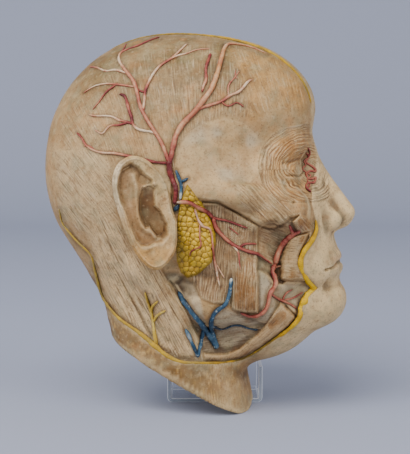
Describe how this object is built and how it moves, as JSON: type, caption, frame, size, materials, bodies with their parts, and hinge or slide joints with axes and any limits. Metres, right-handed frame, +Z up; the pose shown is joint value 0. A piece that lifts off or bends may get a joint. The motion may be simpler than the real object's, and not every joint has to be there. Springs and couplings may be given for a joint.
{
  "type": "anatomical head model",
  "caption": "Life-size teaching head and neck, skin removed on one side to show muscles, vessels, nerves and a gland, resting in a clear bent-sheet cradle.",
  "frame": {"origin": "on the surface that the part stands on, below the centre of its box", "axes": "+Z up, +X the way the face looks, -Y out of the dissected right side"},
  "size_m": [0.2238, 0.1774, 0.2692],
  "materials": {
    "painted_cast": "aged oil paint and yellowed varnish over a plaster cast, satin to matt",
    "clear_sheet": "clear polished acrylic sheet"
  },
  "bodies": {
    "root": {"head": "painted_cast", "clear_stand": "clear_sheet"}
  },
  "joints": []
}
